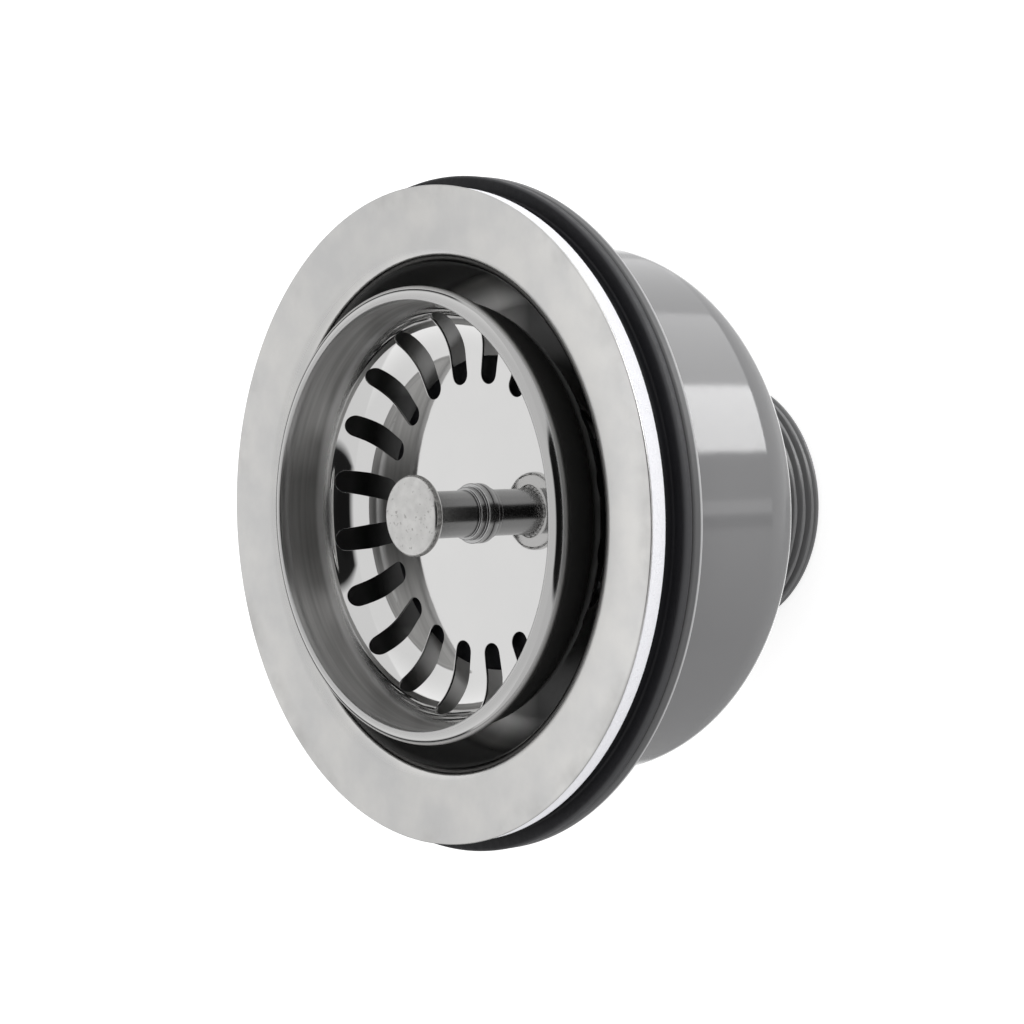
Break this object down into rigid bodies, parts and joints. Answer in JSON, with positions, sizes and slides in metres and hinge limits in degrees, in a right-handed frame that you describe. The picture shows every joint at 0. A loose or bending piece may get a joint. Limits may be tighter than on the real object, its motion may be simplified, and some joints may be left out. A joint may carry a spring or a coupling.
{
  "type": "kitchen sink basket strainer waste",
  "caption": "Kitchen sink basket strainer waste: steel flange and dish, lift-out slotted basket with knob and stopper, foam and rubber washers, grey plastic body with outlet.",
  "frame": {"origin": "centre of the outlet's lower end", "axes": "+Z along the axis, up through the outlet, the body and the dish to the basket's rim; +X through a gap between two bars of the well"},
  "size_m": [0.1178, 0.1178, 0.0809],
  "materials": {
    "satin_steel": "satin",
    "polished_steel": "mirror polished",
    "turned_steel": "turned",
    "white_foam": "fine closed-cell foam",
    "black_rubber": "smooth moulded",
    "grey_plastic": "gloss moulded",
    "brass": "turned"
  },
  "bodies": {
    "housing": {"top_flange": "satin_steel", "foam_washer": "white_foam", "rubber_gasket": "black_rubber", "waste_body": "grey_plastic", "threaded_insert": "brass", "clamp_bolt": "turned_steel"},
    "strainer": {"basket": "polished_steel", "knob_post": "turned_steel", "stopper_seal": "black_rubber", "seal_plate": "turned_steel", "stem": "turned_steel", "catch_ring": "black_rubber"}
  },
  "joints": [
    {"name": "strainer_lift", "type": "slide", "parent": "housing", "child": "strainer", "axis": [0, 0, 1], "range_m": [-0.0074, 0.05]}
  ]
}
